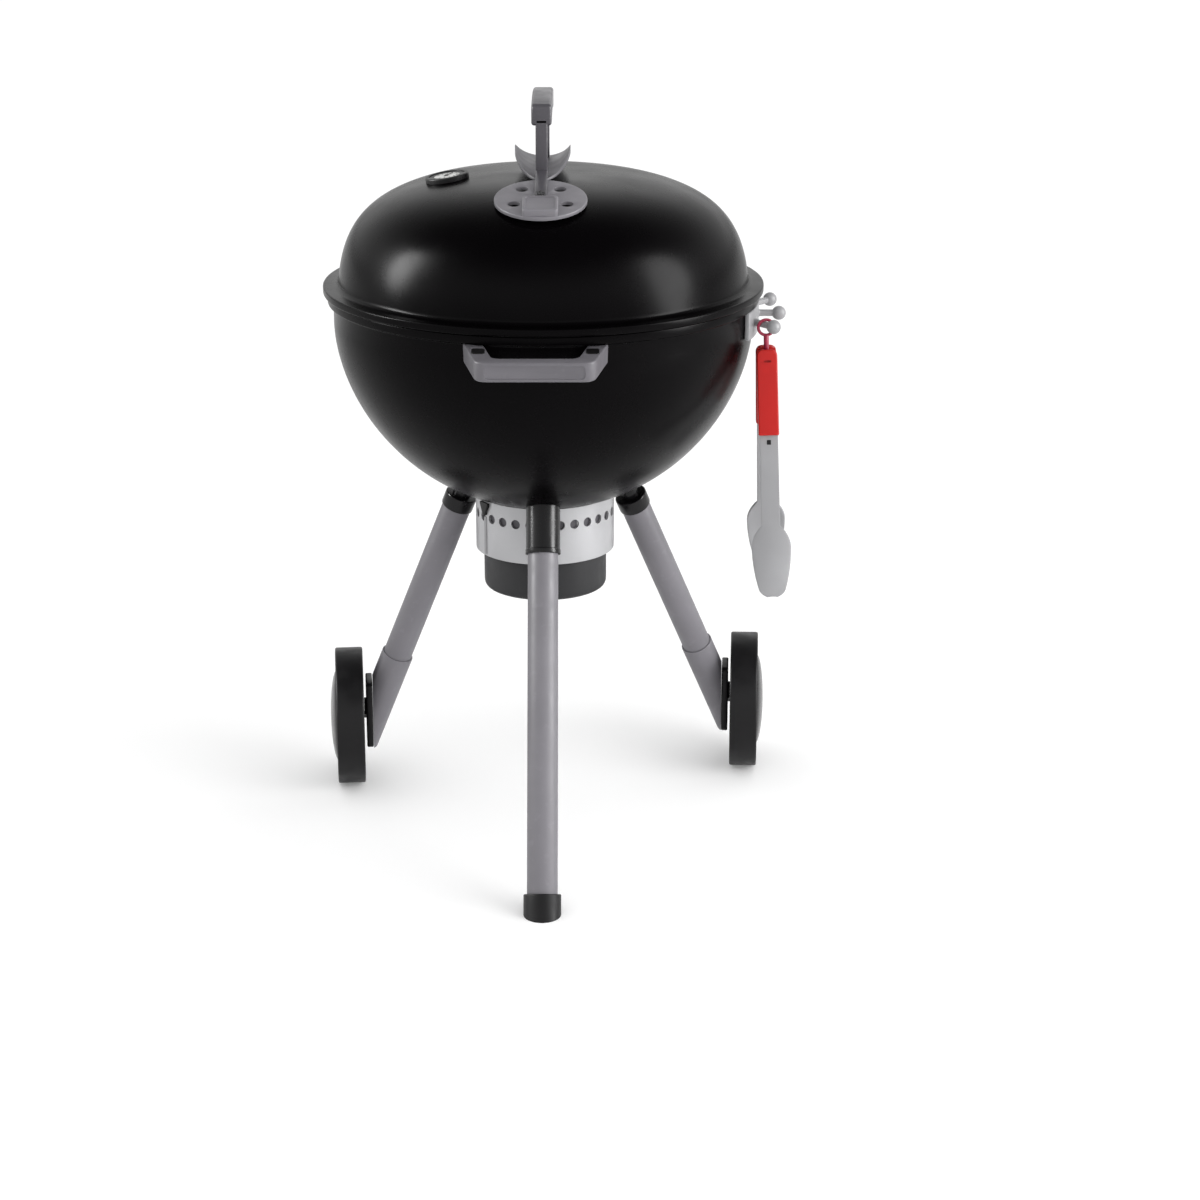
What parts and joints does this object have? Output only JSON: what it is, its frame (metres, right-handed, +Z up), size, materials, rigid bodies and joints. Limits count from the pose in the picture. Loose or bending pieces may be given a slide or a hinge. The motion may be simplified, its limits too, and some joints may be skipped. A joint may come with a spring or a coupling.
{
  "type": "toy barbecue grill",
  "caption": "Toy kettle barbecue grill: domed lid with damper and handle, round bowl on a wheeled tripod, ash catcher, and tongs on a side hook.",
  "frame": {"origin": "middle of the whole part's footprint, on the floor", "axes": "+Z up, -Y to the front leg and the bowl's handle, +X to the tool holder"},
  "size_m": [0.3902, 0.4098, 0.6186],
  "materials": {
    "enamel": "glossy black",
    "grey_plastic": "satin mid grey",
    "dark_plastic": "satin dark grey",
    "black_plastic": "satin black",
    "light_plastic": "satin light grey",
    "dial_face": "glossy off-white",
    "red_plastic": "satin red",
    "wine_red": "satin dark red",
    "steel": "plain steel"
  },
  "bodies": {
    "kettle": {"axle_plate_left": "black_plastic", "axle_left": "steel", "axle_plate_right": "black_plastic", "axle_right": "steel", "rear_left_leg_socket": "black_plastic", "rear_left_leg_tube": "grey_plastic", "rear_left_leg_sleeve": "grey_plastic", "rear_right_leg_socket": "black_plastic", "rear_right_leg_tube": "grey_plastic", "rear_right_leg_sleeve": "grey_plastic", "front_leg_socket": "black_plastic", "front_leg_tube": "grey_plastic", "front_foot": "black_plastic", "bowl_shell": "enamel", "cooking_grate": "dark_plastic", "bowl_handle": "grey_plastic", "handle_pad_left": "black_plastic", "handle_pad_right": "black_plastic", "bowl_handle_screw_left": "steel", "bowl_handle_screw_right": "steel", "tool_holder": "light_plastic", "tool_holder_screw_front": "steel", "tool_holder_screw_rear": "steel", "ash_collar": "light_plastic", "ash_latch": "black_plastic", "ash_collar_screw_1": "steel", "ash_collar_screw_2": "steel", "ash_collar_screw_3": "steel", "front_leg_bolt": "steel", "rear_left_leg_bolt": "steel", "rear_right_leg_bolt": "steel"},
    "lid": {"lid_shell": "enamel", "lid_handle": "grey_plastic", "heat_shield": "grey_plastic", "lid_handle_screw_front": "steel", "lid_handle_screw_rear": "steel", "damper_pivot": "steel", "thermometer_bezel": "black_plastic", "thermometer_dial": "dial_face", "thermometer_nut": "steel"},
    "damper": {"damper_disc": "grey_plastic"},
    "ash_pot": {"ash_pot": "dark_plastic"},
    "wheel_left": {"wheel_left": "black_plastic", "hub_cap_left": "black_plastic"},
    "wheel_right": {"wheel_right": "black_plastic", "hub_cap_right": "black_plastic"},
    "tongs": {"tongs_hanger": "wine_red", "tongs_pin": "steel"},
    "tongs_front": {"tongs_front_arm": "light_plastic", "tongs_front_grip": "red_plastic"},
    "tongs_rear": {"tongs_rear_arm": "light_plastic", "tongs_rear_grip": "red_plastic"}
  },
  "joints": [
    {"name": "lid_lift", "type": "slide", "parent": "kettle", "child": "lid", "axis": [0, 0, 1], "range_m": [0, 0.15]},
    {"name": "damper_turn", "type": "hinge", "parent": "lid", "child": "damper", "pos_m": [-0.00316, -0.07318, 0.54654], "axis": [0, -0.2299, 0.9732], "range_deg": [-45, 45]},
    {"name": "ash_pot_pull", "type": "slide", "parent": "kettle", "child": "ash_pot", "axis": [0, 0, -1], "range_m": [0, 0.07]},
    {"name": "wheel_left_spin", "type": "hinge", "parent": "kettle", "child": "wheel_left", "pos_m": [-0.17716, 0.10282, 0.05962], "axis": [0.9959, 0.0906, 0], "continuous": true},
    {"name": "wheel_right_spin", "type": "hinge", "parent": "kettle", "child": "wheel_right", "pos_m": [0.17084, 0.14482, 0.05962], "axis": [0.9986, -0.0523, 0], "continuous": true},
    {"name": "tongs_swing", "type": "hinge", "parent": "kettle", "child": "tongs", "pos_m": [0.17477, -0.02907, 0.44], "axis": [0.6225, -0.7826, 0], "range_deg": [-8, 20]},
    {"name": "tongs_front_squeeze", "type": "hinge", "parent": "tongs", "child": "tongs_front", "pos_m": [0.17548, -0.02907, 0.41601], "axis": [0.9996, 0, 0.0297], "range_deg": [0, 12]},
    {"name": "tongs_rear_squeeze", "type": "hinge", "parent": "tongs", "child": "tongs_rear", "pos_m": [0.17548, -0.02907, 0.41601], "axis": [0.9996, 0, 0.0297], "range_deg": [-12, 0]}
  ],
  "couplings": [
    {"joint": "tongs_rear_squeeze", "follows": "tongs_front_squeeze", "ratio": -1}
  ]
}
